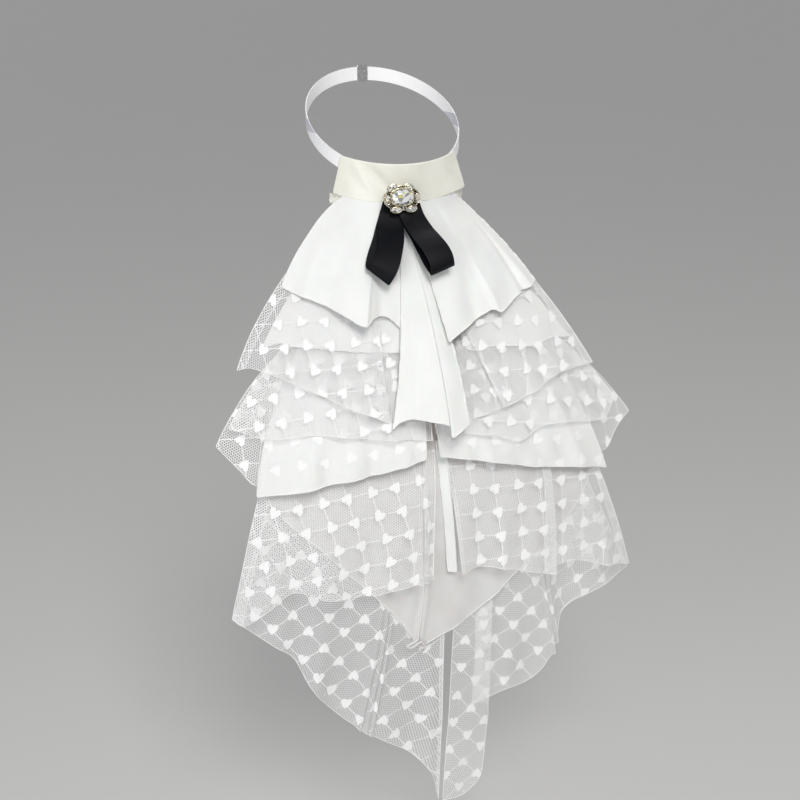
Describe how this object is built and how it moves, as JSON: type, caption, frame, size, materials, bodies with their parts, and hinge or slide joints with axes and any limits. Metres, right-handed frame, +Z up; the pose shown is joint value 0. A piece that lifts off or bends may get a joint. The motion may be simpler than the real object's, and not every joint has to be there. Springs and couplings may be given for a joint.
{
  "type": "detachable jabot collar",
  "caption": "Neck band on a ribbon loop with a brooch, black ribbon loops and a long ruffled front of white chiffon and heart-patterned net tiers.",
  "frame": {"origin": "on the axis of the neck, in the middle of the neck loop", "axes": "+Z up along the neck, -Y towards the front that the ruffles hang on, +X to the wearer's left"},
  "size_m": [0.3263, 0.2194, 0.5541],
  "materials": {
    "chiffon": "matt opaque white chiffon with overlocked hems",
    "net": "sheer white net with small woven hearts",
    "satin": "ivory satin with a soft shine",
    "strap": "narrow pale lilac-white satin ribbon",
    "ribbon": "black satin ribbon",
    "metal": "antique pale gold with dark recesses",
    "stone": "clear cut stones",
    "clasp": "bright plated metal"
  },
  "bodies": {
    "root": {"neck_band": "satin", "seam_tab_left": "satin", "seam_tab_right": "satin", "neck_strap_left": "strap", "neck_strap_right": "strap", "strap_clasp": "clasp", "base_panel": "chiffon", "chiffon_tier_left": "chiffon", "chiffon_tier_right": "chiffon", "top_tier_left": "chiffon", "top_tier_right": "chiffon", "centre_cascade": "chiffon", "centre_pleat": "chiffon", "lining_tier_left": "chiffon", "lining_tier_right": "chiffon", "tulle_tier_1_left": "net", "tulle_tier_1_right": "net", "tulle_tier_2_left": "net", "tulle_tier_2_right": "net", "tulle_under_left": "net", "tulle_under_right": "net", "tulle_tier_3_left": "net", "tulle_tier_3_right": "net", "tulle_tier_4_left": "net", "tulle_tier_4_right": "net", "ribbon_loop_left": "ribbon", "ribbon_loop_right": "ribbon", "brooch_setting": "metal", "centre_stone": "stone", "side_stone_1": "stone", "side_stone_2": "stone", "side_stone_3": "stone", "side_stone_4": "stone", "side_stone_5": "stone", "side_stone_6": "stone"}
  },
  "joints": []
}
